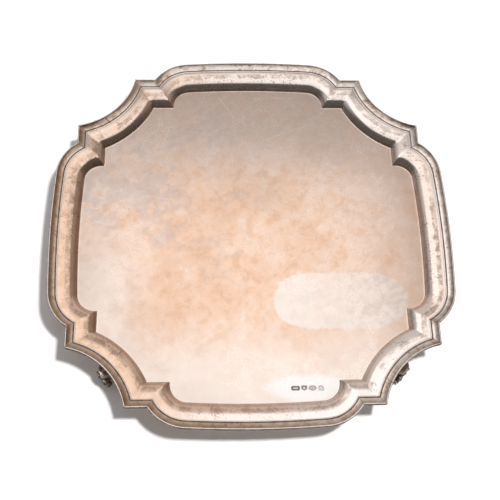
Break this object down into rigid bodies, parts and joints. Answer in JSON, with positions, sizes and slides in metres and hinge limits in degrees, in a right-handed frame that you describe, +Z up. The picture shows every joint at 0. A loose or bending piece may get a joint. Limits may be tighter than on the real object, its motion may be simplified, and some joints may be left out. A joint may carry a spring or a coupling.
{
  "type": "salver",
  "caption": "Square silver salver with bowed sides, hollow corners, a raised moulded border and four cast scroll feet.",
  "frame": {"origin": "on the table plane under the feet, below the middle of the field", "axes": "+Z up out of the field, +Y towards the back side, +X to the right; all four sides are alike"},
  "size_m": [0.305, 0.305, 0.0315],
  "materials": {
    "tray_silver": "polished sterling silver with a warm tarnish and fine scratches",
    "moulding_silver": "polished sterling silver, browner tarnish in the hollow and the groove",
    "foot_silver": "cast sterling silver, dark in the recesses"
  },
  "bodies": {
    "root": {"tray": "tray_silver", "back_moulding": "moulding_silver", "back_step_by_back_right_corner": "moulding_silver", "back_step_by_back_left_corner": "moulding_silver", "left_moulding": "moulding_silver", "left_step_by_back_left_corner": "moulding_silver", "left_step_by_front_left_corner": "moulding_silver", "front_moulding": "moulding_silver", "front_step_by_front_left_corner": "moulding_silver", "front_step_by_front_right_corner": "moulding_silver", "right_moulding": "moulding_silver", "right_step_by_front_right_corner": "moulding_silver", "right_step_by_back_right_corner": "moulding_silver", "back_left_corner_first_length": "moulding_silver", "back_left_corner_second_length": "moulding_silver", "front_right_corner_first_length": "moulding_silver", "front_right_corner_second_length": "moulding_silver", "back_right_corner_moulding": "moulding_silver", "front_left_corner_moulding": "moulding_silver", "back_right_foot": "foot_silver", "back_left_foot": "foot_silver", "front_left_foot": "foot_silver", "front_right_foot": "foot_silver"}
  },
  "joints": []
}
